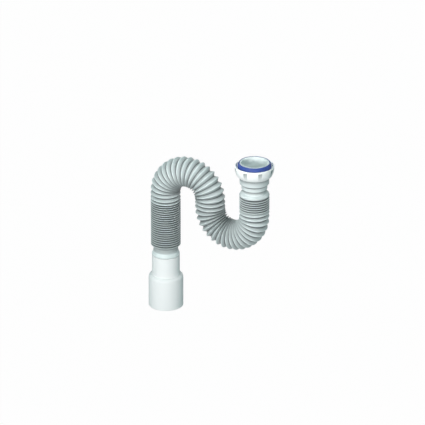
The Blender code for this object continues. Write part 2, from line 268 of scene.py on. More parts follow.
def make_guide():
    """The line through the middle of the pipe, upright, from the open end of the sleeve to the lip."""
    quarter = 4 / 3 * math.tan(math.pi / 8)
    over, under = quarter * ARCH_RADIUS, quarter * TRAP_RADIUS
    up, down, right = Vector((0, 0, 1)), Vector((0, 0, -1)), Vector((1, 0, 0))
    stops = [
        ((OUTLET_X, 0), up, ARCH_HEIGHT / 3, ARCH_HEIGHT / 3),
        ((OUTLET_X, ARCH_HEIGHT), up, ARCH_HEIGHT / 3, over),
        ((OUTLET_X + ARCH_RADIUS, ARCH_HEIGHT + ARCH_RADIUS), right, over, over),
        ((MIDDLE_X, ARCH_HEIGHT), down, over, (ARCH_HEIGHT - TRAP_HEIGHT) / 3),
        ((MIDDLE_X, TRAP_HEIGHT), down, (ARCH_HEIGHT - TRAP_HEIGHT) / 3, under),
        ((MIDDLE_X + TRAP_RADIUS, TRAP_HEIGHT - TRAP_RADIUS), right, under, under),
        ((INLET_X, TRAP_HEIGHT), up, under, (LIP_HEIGHT - TRAP_HEIGHT) / 3),
        ((INLET_X, LIP_HEIGHT), up, (LIP_HEIGHT - TRAP_HEIGHT) / 3, (LIP_HEIGHT - TRAP_HEIGHT) / 3),
    ]
    bpy.ops.object.select_all(action="DESELECT")
    bpy.ops.curve.primitive_bezier_curve_add(location=(0, 0, 0))
    guide = bpy.context.object
    guide.name = "centre_line"
    guide.data.twist_mode = "MINIMUM"
    guide.data.resolution_u = GUIDE_STEPS
    points = guide.data.splines[0].bezier_points
    points.add(len(stops) - len(points))
    for point, ((x, height), way, reach_back, reach_on) in zip(points, stops):
        point.handle_left_type = "FREE"
        point.handle_right_type = "FREE"
        place = Vector((x, 0, height))
        point.co = place
        point.handle_left = place - way * reach_back
        point.handle_right = place + way * reach_on
    return guide


guide = make_guide()
print("The guide is", round(sum(spline.calc_length() for spline in guide.data.splines) / MM, 1), "mm long")

# %% [markdown]
# ## The pipe
#
# The pipe is one moulding. It is made here in two pieces that meet in a valley at the top of the outlet leg, because
# the leg stretches when the outlet is pulled and the rest doesn't. Each is a necked end, turned in one go from the
# outside over the rim into the bore, plus its runs of folds, plus a narrow ring where the two pieces meet.
#
# The pipe's shade is painted into its colour. Light falls into the folds and doesn't come back, and each corner of the
# mesh remembers how much light is painted there, as an attribute that the material uses later. It could be drawn into
# a picture, but numbers on the corners need no unwrapping and are as sharp as the mesh. They follow from how far up a
# fold a corner is, from its place along the pipe, on the plain necks and the open folds, and from how deep in a bend it
# lies.

# %% The light that is left on the bellows
# Each pair is a share of the way from the valley to the crest, and the light painted there: painted shade in the
# valley and a painted highlight on the crest.
OPEN_LIGHT = ((0, 0.05), (0.04, 0.12), (0.16, 0.4), (0.5, 0.64), (0.84, 0.71), (0.96, 0.9), (1, 1))
FINE_LIGHT = ((0, 0), (0.12, 0.02), (0.6, 0.18), (0.9, 0.63), (1, 0.79))
PLAIN_LIGHT = 0.86

# Each pair is a place along the pipe, and a factor on the painted light of the open folds there: painted shade on
# the middle leg.
OPEN_RUN_LIGHT = ((open_start + 60 * MM, 1.04), (open_start + 145 * MM, 0.76),
                  (open_start + 200 * MM, 0.88), (open_end, 0.95))

# How much painted shade darkens the middle of each bend, where the folds are squeezed together.
SQUEEZED_ARCH = 0.8
SQUEEZED_TRAP = 0.35


def look_up(places, table):
    """Read a table of pairs at each place, with straight lines between its rows."""
    return np.interp(places, *zip(*table))


def read_corners(piece):
    """The corners of a mesh as rows of x, y and height."""
    corners = np.empty(len(piece.data.vertices) * 3)
    piece.data.vertices.foreach_get("co", corners)
    return corners.reshape(-1, 3)


def room_in_the_bend(corners, centre_x, centre_height, bend_radius, squeezed):
    """A factor on the painted light: 1 on and outside the centre line, painted shade towards the bend's middle."""
    reach = np.hypot(corners[:, 0] - centre_x, corners[:, 2] - centre_height)
    return 1 - squeezed * (1 - np.clip(reach / bend_radius, 0, 1))


print("A fold keeps", OPEN_LIGHT[0][1], "of the light in its valley and", OPEN_LIGHT[-1][1], "on its crest")

# %% [markdown]
# One helper takes a straight pipe piece through all that is left to do. The folds round the arch were pulled a little
# further apart than those of the trap, so the corners are moved along the pipe before it is bent.

# %% Helper: finish a straight pipe piece
TUBE_RADIUS = 21.1 * MM
TUBE_WALL = 2.4 * MM
TUBE_FOOT = neck_start + 21.0 * MM

# Room for rounding, where a corner or a face is sorted by its radius or its height.
SLACK = 0.1 * MM


def light_on_straight_pipe(corners, end_light, bore_light):
    """The light painted at each corner of a straight pipe piece."""
    radius, along = np.hypot(corners[:, 0], corners[:, 1]), corners[:, 2]
    share = (radius - VALLEY_RADIUS) / FOLD_DEPTH
    in_open = (along > open_start - FINE_PITCH / 2) & (along < open_end + FINE_PITCH / 2)
    in_fine = (along > leg_start) & (along < neck_start) & ~in_open
    in_bore = (radius < TUBE_RADIUS - TUBE_WALL + SLACK) & (along > TUBE_FOOT)
    light = look_up(along, end_light) * PLAIN_LIGHT
    light[in_open] = look_up(share[in_open], OPEN_LIGHT) * look_up(along[in_open], OPEN_RUN_LIGHT)
    light[in_fine] = look_up(share[in_fine], FINE_LIGHT)
    light[in_bore] = look_up(along[in_bore], bore_light)
    return light


def finish_pipe(name, strips, end_light, bore_light=((0, 1), (1, 1))):
    """Join the strips, note how much light is painted at each corner, bend the pipe and lay it down."""
    pipe = joined(name, strips)
    close_skin(pipe)
    corners = read_corners(pipe)
    light = light_on_straight_pipe(corners, end_light, bore_light)
    opened = np.clip((corners[:, 2] - open_start) / (open_end - open_start), 0, 1)
    corners[:, 2] += ARCH_EXTRA_PULL * np.sin(math.pi * opened)
    pipe.data.vertices.foreach_set("co", corners.ravel())
    add_modifier(pipe, "CURVE", object=guide, deform_axis="POS_Z")
    bent = read_corners(pipe)
    over = (bent[:, 2] > ARCH_HEIGHT) & (bent[:, 0] < MIDDLE_X + RIDGE_RADIUS)
    under = (bent[:, 2] < TRAP_HEIGHT) & (bent[:, 0] > MIDDLE_X - RIDGE_RADIUS - 1 * MM)
    # Painted shade inside the bends, where the folds are squeezed.
    light[over] *= room_in_the_bend(bent[over], OUTLET_X + ARCH_RADIUS, ARCH_HEIGHT, ARCH_RADIUS, SQUEEZED_ARCH)
    light[under] *= room_in_the_bend(bent[under], MIDDLE_X + TRAP_RADIUS, TRAP_HEIGHT, TRAP_RADIUS, SQUEEZED_TRAP)
    pipe.data.attributes.new("light", "FLOAT", "POINT").data.foreach_set("value", light.astype(np.float32))
    lay_down(pipe, 0, sharp_angle=70)
    return pipe


print("The plain tube is", round(2 * TUBE_RADIUS / MM, 1), "mm wide")

# %% [markdown]
# The outlet end is a spigot that goes some way into the sleeve, a rounded collar that stands on the sleeve's end, a
# short cuff and a plain neck. Its outline is drawn from the first fold down the outside and back up the bore. A few
# extra rings lie where the light changes quickly, because the light is only known at the corners.

# %% The outlet leg
SLEEVE_RADIUS = 20.0 * MM
SLEEVE_WALL = 2.3 * MM
SEAT_GAP = 0.3 * MM
NECK_WALL = 1.3 * MM
SPIGOT_LENGTH = 24.0 * MM
COLLAR_HEIGHT = 5.3 * MM
CUFF_HEIGHT = 3.9 * MM
CUFF_RADIUS = 17.9 * MM
OUTLET_NECK_RADIUS = 17.2 * MM
spigot_radius = SLEEVE_RADIUS - SLEEVE_WALL - 0.4 * MM
spigot_end = SLEEVE_TOP - SPIGOT_LENGTH
outlet_bore = spigot_radius - NECK_WALL
collar_base = SLEEVE_TOP + SEAT_GAP
cuff_base = collar_base + COLLAR_HEIGHT
outlet_neck = cuff_base + CUFF_HEIGHT

leg_outline = [(VALLEY_RADIUS, leg_start)]
leg_outline += [(OUTLET_NECK_RADIUS, leg_start - below * MM) for below in (0.5, 2.0, 3.6)]
leg_outline += [(OUTLET_NECK_RADIUS, outlet_neck + 0.6 * MM)]
leg_outline += arc((CUFF_RADIUS - 0.4 * MM, outlet_neck - 0.4 * MM), (0.4 * MM, 0.4 * MM), 90, 0, 3)
leg_outline += [(CUFF_RADIUS, cuff_base + above * MM) for above in (1.9, 1.4, 0.3)]
leg_outline += arc((CUFF_RADIUS, collar_base + 1.0 * MM), (2.1 * MM, 4.1 * MM), 80, 0, 9)
leg_outline += arc((CUFF_RADIUS + 1.3 * MM, collar_base + 0.8 * MM), (0.8 * MM, 0.8 * MM), -20, -90, 3)
leg_outline += [(spigot_radius, collar_base), (spigot_radius, spigot_end + 0.8 * MM)]
leg_outline += [(spigot_radius - 0.5 * MM, spigot_end), (outlet_bore, spigot_end)]
leg_outline += [(outlet_bore, outlet_neck), (VALLEY_RADIUS - BELLOWS_WALL, leg_start)]

leg_strips = [turned("outlet_end", leg_outline)]
leg_strips += run_of_folds("closed_folds_of_the_leg", FINE_SLOPE, FINE_PITCH, OUTLET_FOLDS, leg_start)
seam = [(VALLEY_RADIUS, open_start), (VALLEY_RADIUS - BELLOWS_WALL, open_start)]
leg_strips.append(turned("leg_seam", seam))

# Each pair is a height along the pipe, and the light painted there: a thin painted shade at the sleeve's edge, a
# painted highlight on the collar and the cuff, and painted shade on the neck under the last fold.
outlet_light = ((collar_base, 0.35), (collar_base + 0.5 * MM, 0.8), (collar_base + 1.2 * MM, 1.08))
outlet_light += ((cuff_base, 1.14), (cuff_base + 1.4 * MM, 1.0), (cuff_base + 1.9 * MM, 0.74))
outlet_light += ((outlet_neck - 0.6 * MM, 0.72), (outlet_neck, 0.6), (leg_start - 3.6 * MM, 0.6))
outlet_light += ((leg_start - 2.0 * MM, 0.4), (leg_start - 0.5 * MM, 0.2))
outlet_leg = finish_pipe("pipe_outlet_leg", leg_strips, outlet_light)

# %% [markdown]
# The inlet end starts with a rounded shoulder that closes the bellows, then a waist, a ring that helps the hand hold
# the pipe, a flare, and the plain tube that carries the nut and the seal. The tube's lip is rounded inside. The tube
# gets painted shade under the nut, where the bowl keeps the light away.

# %% The bends with the inlet neck
WAIST_RADIUS = 16.6 * MM
RING_RADIUS = 18.5 * MM
SHOULDER_HEIGHT = 7.6 * MM
WAIST_HEIGHT = 5.3 * MM
RING_HEIGHT = 5.8 * MM
FLARE_HEIGHT = 2.9 * MM
waist_base = neck_start + SHOULDER_HEIGHT
ring_base = waist_base + WAIST_HEIGHT
flare_base = ring_base + RING_HEIGHT
tube_base = flare_base + FLARE_HEIGHT
lip = centre_length
nut_foot = lip - (LIP_HEIGHT - NUT_BASE)

neck_outline = [(VALLEY_RADIUS, neck_start), (VALLEY_RADIUS + 1.6 * MM, neck_start + 0.5 * MM)]
neck_outline += [(RIDGE_RADIUS - 0.6 * MM, neck_start + 1.3 * MM)]
shoulder_reach = (RIDGE_RADIUS - WAIST_RADIUS, SHOULDER_HEIGHT - 3.2 * MM)
neck_outline += arc((WAIST_RADIUS, neck_start + 2.6 * MM), shoulder_reach, 0, 84, 12)
neck_outline += [(WAIST_RADIUS, waist_base), (WAIST_RADIUS, ring_base - 0.2 * MM)]
neck_outline += arc((RING_RADIUS - 0.8 * MM, ring_base + 0.8 * MM), (0.8 * MM, 0.8 * MM), -80, 0, 5)
neck_outline += arc((RING_RADIUS - 0.3 * MM, flare_base - 0.3 * MM), (0.3 * MM, 0.3 * MM), 0, 45, 3)
neck_outline += [(RING_RADIUS + 0.1 * MM, flare_base + 0.2 * MM)]
neck_outline += arc((TUBE_RADIUS - 0.8 * MM, tube_base), (0.8 * MM, 0.9 * MM), -60, 0, 4)
neck_outline += [(TUBE_RADIUS, nut_foot + below * MM) for below in (-6.0, -4.0, -2.5, -1.2, -0.4, 0.5)]
neck_outline += arc((TUBE_RADIUS - 0.3 * MM, lip - 0.3 * MM), (0.3 * MM, 0.3 * MM), 0, 90, 3)
bore_radius = TUBE_RADIUS - TUBE_WALL
neck_outline += arc((bore_radius + 0.6 * MM, lip - 0.6 * MM), (0.6 * MM, 0.6 * MM), 90, 180, 3)
neck_outline += [(bore_radius, lip - depth * MM) for depth in (2, 5, 8, 12, 16, 20, 25)]
ring_bore, waist_bore = RING_RADIUS - NECK_WALL, WAIST_RADIUS - NECK_WALL
neck_outline += [(bore_radius, tube_base), (ring_bore, flare_base), (ring_bore, ring_base)]
neck_outline += [(waist_bore, ring_base), (waist_bore, waist_base)]
neck_outline += arc((waist_bore, neck_start + 2.6 * MM), shoulder_reach, 80, 0, 6)
neck_outline += [(VALLEY_RADIUS - BELLOWS_WALL, neck_start)]

bend_strips = [turned("inlet_end", neck_outline)]
bend_strips += run_of_folds("open_folds", OPEN_SLOPE, OPEN_PITCH, OPEN_FOLDS, open_start)
bend_strips += run_of_folds("closed_folds_of_the_inlet", FINE_SLOPE, FINE_PITCH, INLET_FOLDS, open_end)
bend_strips.append(turned("bend_seam", seam))

# Each pair is a height along the pipe, and the light painted there: painted shade where the shoulder meets the
# folds, at the foot of the ring, on the flare, and under the nut.
inlet_light = ((neck_start, 0.1), (neck_start + 1.3 * MM, 0.4), (neck_start + 2.6 * MM, 0.7))
inlet_light += ((neck_start + 4.5 * MM, 0.86), (waist_base, 0.92), (ring_base - 1.5 * MM, 1))
inlet_light += ((ring_base - 0.2 * MM, 0.25), (ring_base, 0.25), (ring_base + 0.8 * MM, 0.95))
inlet_light += ((flare_base - 0.3 * MM, 0.85), (flare_base, 0.3), (tube_base - 0.5 * MM, 0.25), (tube_base, 0.88))
inlet_light += ((nut_foot - 6 * MM, 0.8), (nut_foot - 4 * MM, 0.66), (nut_foot - 2.5 * MM, 0.5))
inlet_light += ((nut_foot - 1.2 * MM, 0.33), (nut_foot - 0.4 * MM, 0.2), (nut_foot, 0.2), (lip - 1 * MM, 1))
# Painted shade deeper in the bore, away from the lip.
bore_light = ((lip - 25 * MM, 0.7), (lip - 12 * MM, 1), (lip, 1))
bends = finish_pipe("pipe_bends", bend_strips, inlet_light, bore_light)
bpy.data.objects.remove(guide, do_unlink=True)

# %% [markdown]
# ## The outlet sleeve
#
# An injection-moulded sleeve with two diameters, so that one part fits both common drains. Its walls are real: the
# outline runs down the outside, round the open end and back up the bore. The edges are rounded in the outline.

# %% The sleeve
SOCKET_LENGTH = 43.6 * MM
SLEEVE_SHOULDER = 5.2 * MM
sleeve_bore = SLEEVE_RADIUS - SLEEVE_WALL
socket_bore = SOCKET_RADIUS - SLEEVE_WALL
shoulder_reach = (SOCKET_RADIUS - SLEEVE_RADIUS, SLEEVE_SHOULDER)

sleeve_outline = arc((SLEEVE_RADIUS - 0.9 * MM, SLEEVE_TOP - 0.9 * MM), (0.9 * MM, 0.9 * MM), 90, 0, 5)
sleeve_outline += [(SLEEVE_RADIUS, SOCKET_LENGTH + SLEEVE_SHOULDER + 0.3 * MM)]
sleeve_outline += arc((SLEEVE_RADIUS, SOCKET_LENGTH), shoulder_reach, 86, 0, 12)
sleeve_outline += arc((SOCKET_RADIUS - 0.9 * MM, 0.9 * MM), (0.9 * MM, 0.9 * MM), 0, -90, 5)
sleeve_outline += arc((socket_bore + 0.5 * MM, 0.5 * MM), (0.5 * MM, 0.5 * MM), -90, -180, 3)
sleeve_outline += [(socket_bore, SOCKET_LENGTH - SLEEVE_WALL)]
sleeve_outline += arc((sleeve_bore, SOCKET_LENGTH - SLEEVE_WALL), shoulder_reach, 20, 90, 6)
sleeve_outline += arc((sleeve_bore + 0.4 * MM, SLEEVE_TOP - 0.4 * MM), (0.4 * MM, 0.4 * MM), 180, 90, 3)
sleeve = turned("sleeve", sleeve_outline + sleeve_outline[:1])
close_skin(sleeve)
lay_down(sleeve, OUTLET_X, sharp_angle=40)

# %% [markdown]
# ## The union nut
#
# A bowl with a web at its base that rides on the tube, an internal thread and a seat for the seal. The bowl is turned
# like the other round pieces, and the recess round the seal flares a little towards the rim.

# %% The nut's body
NUT_EDGE = 1.4 * MM
NUT_BASE_RADIUS = 23.6 * MM
BOWL_WAIST = 20.5 * MM
NUT_WEB = 3.0 * MM
SEAT_DEPTH = 3.1 * MM
SEAT_RADIUS = 25.6 * MM
THREAD_ROOT = 23.9 * MM
THREAD_CREST = 22.4 * MM
THREAD_PITCH = 2.309 * MM
nut_bore = TUBE_RADIUS + 0.4 * MM
nut_height = NUT_TOP - NUT_BASE
widest = nut_height - NUT_EDGE - 1.0 * MM
bowl_reach = NUT_RADIUS - BOWL_WAIST
seat = nut_height - SEAT_DEPTH

nut_outline = arc((NUT_RADIUS - NUT_EDGE, nut_height - NUT_EDGE), (NUT_EDGE, NUT_EDGE), 90, 0, 6)
nut_outline[0] = (NUT_RADIUS - NUT_EDGE + 0.1 * MM, nut_height)
nut_outline += arc((BOWL_WAIST, widest), (bowl_reach, widest + 1.0 * MM), 0, -68, 14)
nut_outline += [(NUT_BASE_RADIUS - 0.3 * MM, 0.25 * MM), (NUT_BASE_RADIUS - 0.9 * MM, 0)]
nut_outline += [(nut_bore, 0), (nut_bore, NUT_WEB), (THREAD_ROOT, NUT_WEB), (THREAD_ROOT, seat)]
nut_outline += [(SEAT_RADIUS, seat), (SEAT_RADIUS, nut_height - 1.8 * MM)]
nut_outline += [(SEAT_RADIUS + 1.0 * MM, nut_height - 0.2 * MM)]
nut = turned("nut", nut_outline + nut_outline[:1])
close_skin(nut)
print("The nut is", round(nut_height / MM, 1), "mm high and", round(2 * NUT_RADIUS / MM, 1), "mm wide")

# %% [markdown]
# The thread is one tooth in section, swept along a helix. The Screw modifier can do that too. Here the section is
# extruded and turned a step at a time, which is the same thing done by hand. A Boolean joins it on, so that the nut
# stays one closed skin.

# %% The nut's thread
THREAD_TURNS = 3.5
tooth = ((THREAD_ROOT + 0.3 * MM, -1.05 * MM), (THREAD_CREST, -0.2 * MM), (THREAD_CREST, 0.2 * MM),
         (THREAD_ROOT + 0.3 * MM, 1.05 * MM))
thread_start = NUT_WEB + 1.1 * MM
steps = round(THREAD_TURNS * CORNERS)
step_rise = THREAD_TURNS * THREAD_PITCH / steps
bpy.ops.object.select_all(action="DESELECT")
bpy.ops.mesh.primitive_circle_add(vertices=len(tooth), radius=1 * MM, fill_type="NGON")
thread = bpy.context.object
thread.name = "thread"
for corner, (radius, height) in zip(thread.data.vertices, tooth):
    corner.co = (radius, 0, thread_start + height)
bpy.ops.object.mode_set(mode="EDIT")
bpy.ops.mesh.select_all(action="SELECT")
for step in range(steps):
    bpy.ops.mesh.extrude_region_move(TRANSFORM_OT_translate={"value": (0, 0, step_rise)})
    bpy.ops.transform.rotate(value=math.tau / CORNERS, orient_axis="Z", center_override=(0, 0, 0))
bpy.ops.object.mode_set(mode="OBJECT")
close_skin(thread)
add_modifier(nut, "BOOLEAN", operation="UNION", solver="EXACT", object=thread)
bpy.data.objects.remove(thread, do_unlink=True)
print("The thread makes", THREAD_TURNS, "turns with a pitch of", THREAD_PITCH / MM, "mm")

# %% [markdown]
# Eight grip notches are cut into the bowl. A cutter is a box whose inner face stands at one radius, so a notch is
# deepest under its roof and runs out further down, where the bowl is narrower. The lower end of the box is pulled in
# a little, which gives the notch its taper. The cutter is modelled once and copied seven times round the axis.

# %% The nut's grip notches
NOTCH_COUNT = 8
NOTCH_PHASE = math.radians(44.5)
NOTCH_WIDTH = 6.0 * MM
NOTCH_FLOOR = 26.0 * MM
NOTCH_ROOF = 2.4 * MM
NOTCH_TAPER = 0.72
NOTCH_BEVEL = 0.25 * MM
CUTTER_DEPTH = 10.0 * MM
notch_top = nut_height - NOTCH_ROOF
notch_bottom = -1.0 * MM

bpy.ops.object.select_all(action="DESELECT")
bpy.ops.mesh.primitive_cube_add(size=1, location=(NOTCH_FLOOR + CUTTER_DEPTH / 2, 0, (notch_top + notch_bottom) / 2))
cutter = bpy.context.object
cutter.name = "notch_cutter"
cutter.scale = (CUTTER_DEPTH, NOTCH_WIDTH, notch_top - notch_bottom)
bpy.ops.object.transform_apply(location=True, rotation=False, scale=True)
bpy.ops.object.mode_set(mode="EDIT")
bpy.ops.mesh.select_all(action="DESELECT")
bpy.ops.object.mode_set(mode="OBJECT")
for face in cutter.data.polygons:
    face.select = face.normal.z < -0.9
bpy.ops.object.mode_set(mode="EDIT")
bpy.ops.transform.resize(value=(1, NOTCH_TAPER, 1), center_override=(NOTCH_FLOOR, 0, notch_bottom))
bpy.ops.object.mode_set(mode="OBJECT")
add_modifier(cutter, "BEVEL", width=NOTCH_BEVEL, segments=2)
cutters = [cutter]
for index in range(1, NOTCH_COUNT):
    copy = cutter.copy()
    copy.data = cutter.data.copy()
    bpy.context.collection.objects.link(copy)
    copy.rotation_euler.z = index * math.tau / NOTCH_COUNT
    cutters.append(copy)
cutter_ring = joined("notch_cutters", cutters)
cutter_ring.rotation_euler.z = NOTCH_PHASE
bpy.context.view_layer.update()
add_modifier(nut, "BOOLEAN", operation="DIFFERENCE", solver="EXACT", object=cutter_ring)
bpy.data.objects.remove(cutter_ring, do_unlink=True)
close_skin(nut)
print("The notched nut has", len(nut.data.polygons), "faces")

# %% [markdown]
# The notches get painted shade as the folds do, by a light attribute. Here it is kept for each corner of each face, and
# not for each point of the mesh, because a notch and the bowl share the points of the notch's sharp rim. Whatever lies
# inside the bowl's outline and outside the seat is the wall of a notch.

# %% Painted shade in the notches
# Each pair is a height in the nut, and the light painted there: painted shade, darkest under the notch's roof.
NOTCH_LIGHT = ((notch_bottom, 0.9), (notch_top - 5 * MM, 0.55), (notch_top, 0.2))

# How far inside the bowl's outline a face must lie to count as the wall of a notch.
SUNK = 0.08 * MM


def bowl_radius(height):
    """The radius of the bowl's outside at a height."""
    rise = min(max((height - widest) / (widest + 1.0 * MM), -1), 0)
    return BOWL_WAIST + bowl_reach * math.sqrt(1 - rise * rise)


def in_a_notch(face):
    """Whether a face of the nut is the wall of a grip notch."""
    height, radius = face.center.z, face.center.xy.length
    return SEAT_RADIUS + SLACK < radius < bowl_radius(height) - SUNK and height < notch_top + SLACK


notch_shade = nut.data.attributes.new("light", "FLOAT", "CORNER")
shaded = 0
for face in nut.data.polygons:
    inside = in_a_notch(face)
    shaded += inside
    for corner in face.loop_indices:
        height = nut.data.vertices[nut.data.loops[corner].vertex_index].co.z
        notch_shade.data[corner].value = look_up(height, NOTCH_LIGHT) if inside else 1.0
print(shaded, "faces lie in the notches")

# %% [markdown]
# The nut was modelled from its own base, so it is moved up to its place on the pipe before it is laid down.

# %% The nut in its place
def lift(piece, height):
    """Move an upright piece up the pipe, within its mesh."""
    pick(piece)
    piece.location.z = height
    bpy.ops.object.transform_apply(location=True, rotation=True, scale=True)


lift(nut, NUT_BASE)
lay_down(nut, INLET_X, sharp_angle=35)

# %% [markdown]
# ## The cone seal
#
# A rubber ring pushed over the tube's end. Its cone centres itself in the waste when the nut is tightened. The top
# has a thin flat land, the cone is slightly crowned, and the foot is rounded where it stands on the nut's seat.

# %% The seal
SEAL_TOP_RADIUS = 22.3 * MM
SEAL_CONE = 4.8 * MM
seal_bore = TUBE_RADIUS + SEAT_GAP
cone_foot = LIP_HEIGHT - SEAL_CONE

seal_outline = [(seal_bore, LIP_HEIGHT - 0.2 * MM), (seal_bore + 0.15 * MM, LIP_HEIGHT)]
seal_outline += [(SEAL_TOP_RADIUS - 0.25 * MM, LIP_HEIGHT), (SEAL_TOP_RADIUS, LIP_HEIGHT - 0.25 * MM)]
seal_outline += [(SEAL_TOP_RADIUS + 0.75 * MM, LIP_HEIGHT - 1.8 * MM)]
seal_outline += [(SEAL_TOP_RADIUS + 1.4 * MM, LIP_HEIGHT - 3.4 * MM)]
seal_outline += [(SEAL_RADIUS - 0.1 * MM, cone_foot + 0.3 * MM), (SEAL_RADIUS, cone_foot - 0.3 * MM)]
seal_outline += arc((SEAL_RADIUS - 0.5 * MM, SEAL_BASE + 0.5 * MM), (0.5 * MM, 0.5 * MM), 0, -90, 4)
seal_outline += [(seal_bore + 0.3 * MM, SEAL_BASE), (seal_bore, SEAL_BASE + 0.3 * MM)]
seal = turned("seal", seal_outline + seal_outline[:1])
close_skin(seal)
lay_down(seal, INLET_X, sharp_angle=40)

# %% [markdown]
# ## Materials
#
# All finishes are procedural and read Object coordinates, in metres, or the light attribute of the pipe and the nut.
# The small class below makes shader maths read like a sum: an expression on wires adds its own Math nodes.

# %% A wire in a node tree
class Wire:
    """One output socket of a material, with sums on it that add Math nodes."""

    def __init__(self, tree, socket=None):
        self.tree = tree
        self.socket = socket

    def add(self, kind, settings, inputs, output=0):
        """Add any node: its settings first, then the values or wires of its sockets."""
        node = self.tree.nodes.new(kind)
        for name, value in settings.items():
            setattr(node, name, value)
        for name, value in inputs.items():
            if isinstance(value, Wire):
                self.tree.links.new(value.socket, node.inputs[name])
            else:
                node.inputs[name].default_value = value
        return Wire(self.tree, node.outputs[output])

    def math(self, operation, *values):
        """Add a Math node on values or wires."""
        return self.add("ShaderNodeMath", {"operation": operation}, dict(enumerate(values)))

    def __add__(self, other):
        return self.math("ADD", self, other)

    def __sub__(self, other):
        return self.math("SUBTRACT", self, other)

    def __rsub__(self, other):
        return self.math("SUBTRACT", other, self)

    def __mul__(self, other):
        return self.math("MULTIPLY", self, other)

    __radd__ = __add__
    __rmul__ = __mul__

    def clamped(self):
        """Keep the wire between 0 and 1."""
        return self.add("ShaderNodeClamp", {}, {"Value": self, "Min": 0.0, "Max": 1.0})

# %% [markdown]
# ShaderNodeMix has several sockets named A and B, one set for each data type. Names would find the first set, which
# is for plain numbers, so the colour sockets are picked by their number instead.

# %% Helpers for colours and grain
MIX_FACTOR, MIX_A, MIX_B, MIX_RESULT = 0, 6, 7, 2


def mix_colour(wire, share, first, second):
    """Go from the first colour to the second as share goes from 0 to 1."""
    sockets = {MIX_FACTOR: share, MIX_A: first, MIX_B: second}
    return wire.add("ShaderNodeMix", {"data_type": "RGBA"}, sockets, MIX_RESULT)


def noise(wire, size, detail=2.0):
    """Cloudy variation from 0 to 1, with spots of about the given size in metres."""
    place = wire.add("ShaderNodeTexCoord", {}, {}, "Object")
    return wire.add("ShaderNodeTexNoise", {}, {"Vector": place, "Scale": 1 / size, "Detail": detail}, "Fac")


def new_material(name, roughness_base, specular):
    """An empty material with its Principled shader, and a wire to hang nodes on."""
    material = bpy.data.materials.new(name)
    material.use_nodes = True
    shader = material.node_tree.nodes["Principled BSDF"]
    shader.inputs["Roughness"].default_value = roughness_base
    shader.inputs["Specular IOR Level"].default_value = specular
    return material, shader, Wire(material.node_tree)


def plug(wire, shader, socket):
    """Link a wire to a socket of the shader."""
    wire.tree.links.new(wire.socket, shader.inputs[socket])


def light_left(wire):
    """The light attribute of the piece."""
    return wire.add("ShaderNodeAttribute", {"attribute_name": "light"}, {}, "Fac")


def bumped(wire, strength, distance, height):
    """A bump from a height, for the Normal socket."""
    return wire.add("ShaderNodeBump", {}, {"Strength": strength, "Distance": distance, "Height": height})

# %% [markdown]
# ### The pipe's plastic
#
# Blown plastic is satin, and a little cloudy in colour. The light attribute is painted into the colour: painted shade
# in the valleys, inside the bends and on the necks, and a painted highlight on the crests. The crests are also a little
# smoother, rubbed by handling.

# %% Grey pipe plastic
# The colour runs from a painted shade to the lit grey as the light attribute grows.
PIPE_LIT = (0.79, 0.87, 0.868, 1)
PIPE_SHADE = (0.04, 0.05, 0.052, 1)
VALLEY_ROUGHNESS = 0.52
CLOUDS, SMEARS, GRAIN = 18 * MM, 3 * MM, 0.5 * MM

pipe_plastic, shader, wire = new_material("grey_blown_plastic", 0.42, 0.5)
light = light_left(wire)
cloudy_light = (light + (noise(wire, CLOUDS) - 0.5) * 0.1).clamped()
plug(mix_colour(wire, cloudy_light, PIPE_SHADE, PIPE_LIT), shader, "Base Color")
plug(VALLEY_ROUGHNESS - light * 0.12 + (noise(wire, SMEARS) - 0.5) * 0.08, shader, "Roughness")
plug(bumped(wire, 0.12, 0.05 * MM, noise(wire, GRAIN)), shader, "Normal")
print(pipe_plastic.name, "has", len(pipe_plastic.node_tree.nodes), "nodes")

# %% [markdown]
# ### The white mouldings and the rubber
#
# The sleeve and the nut come out of polished moulds: smoother, and whiter. Under a lamp they still show slow ripples,
# where the plastic shrank. The nut has painted shade in its grip notches. The seal is matt rubber with a faint pale
# bloom.

# %% White plastic and blue rubber
SLEEVE_WHITE, SLEEVE_CLOUDS = (0.89, 0.905, 0.90, 1), (0.87, 0.89, 0.885, 1)
NUT_WHITE, NUT_CLOUDS = (0.90, 0.92, 0.915, 1), (0.88, 0.905, 0.90, 1)
NOTCH_SHADE = (0.22, 0.27, 0.27, 1)
RUBBER_BLUE = (0.031, 0.064, 0.255, 1)
RUBBER_BLOOM = (0.043, 0.082, 0.305, 1)
WIDE_CLOUDS, MOULD_SMEARS, RIPPLES, MOULD_GRAIN = 25 * MM, 4 * MM, 9 * MM, 0.6 * MM
BLOOM_SPOTS, RUBBER_GRAIN = 6 * MM, 0.8 * MM


def white_plastic(name, colour, cloud_colour, roughness, notched=False):
    """A white moulding, with painted shade in the grip notches where it has them."""
    material, shader, wire = new_material(name, roughness, 0.2)
    cloudy = mix_colour(wire, noise(wire, WIDE_CLOUDS), cloud_colour, colour)
    if notched:
        # Painted shade in the grip notches, from the light attribute.
        cloudy = mix_colour(wire, light_left(wire), NOTCH_SHADE, cloudy)
    plug(cloudy, shader, "Base Color")
    plug(roughness - 0.05 + noise(wire, MOULD_SMEARS) * 0.1, shader, "Roughness")
    ripples = noise(wire, RIPPLES, 1.0) + noise(wire, MOULD_GRAIN) * 0.06
    plug(bumped(wire, 0.1, 0.15 * MM, ripples), shader, "Normal")
    return material


sleeve_plastic = white_plastic("white_sleeve_plastic", SLEEVE_WHITE, SLEEVE_CLOUDS, roughness=0.5)
nut_plastic = white_plastic("white_nut_plastic", NUT_WHITE, NUT_CLOUDS, roughness=0.46, notched=True)

